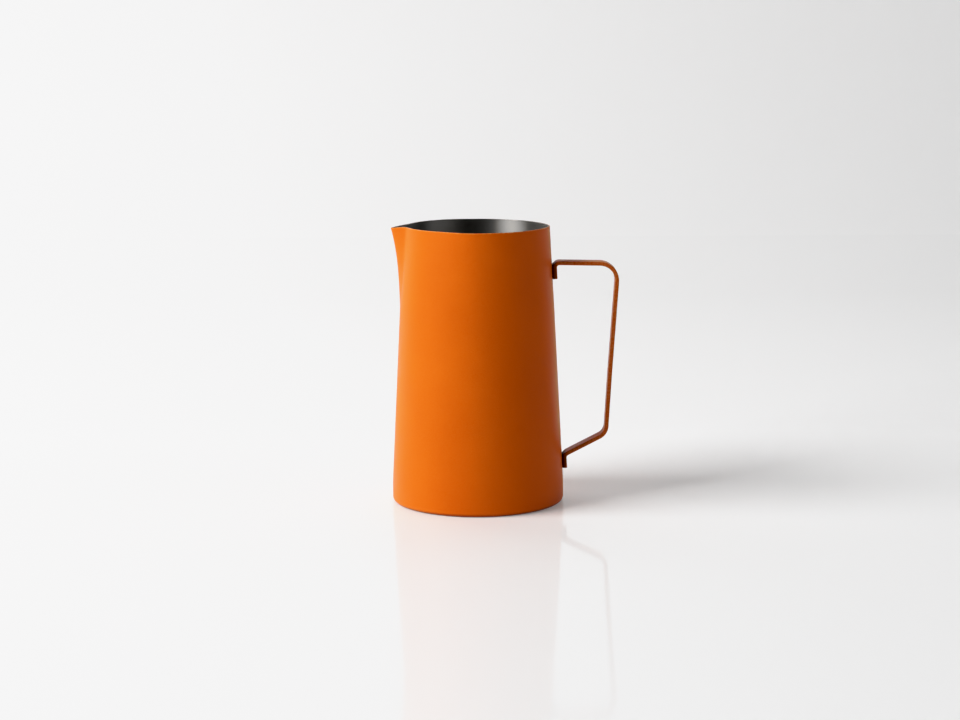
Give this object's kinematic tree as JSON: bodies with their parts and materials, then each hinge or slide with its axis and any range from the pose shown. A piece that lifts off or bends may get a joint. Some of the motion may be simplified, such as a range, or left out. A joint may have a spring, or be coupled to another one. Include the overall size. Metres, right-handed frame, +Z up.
{
  "type": "milk frothing pitcher",
  "caption": "Tapered steel milk frothing pitcher with a pressed pointed spout, a flat strap handle and a matte powder coat outside.",
  "frame": {"origin": "centre of the base, on the surface that the pitcher stands on", "axes": "+Z up along the body's axis, +X towards the handle, -X towards the spout"},
  "size_m": [0.1162, 0.088, 0.142],
  "materials": {
    "steel": "brushed around the axis, satin",
    "weld": "fine rippled weld, brushed over",
    "coat": "matte powder coat with a very fine texture"
  },
  "bodies": {
    "root": {"side_wall": "steel", "base_pan": "steel", "base_seam_weld": "weld", "body_coat": "coat", "handle_strap": "coat"}
  },
  "joints": []
}
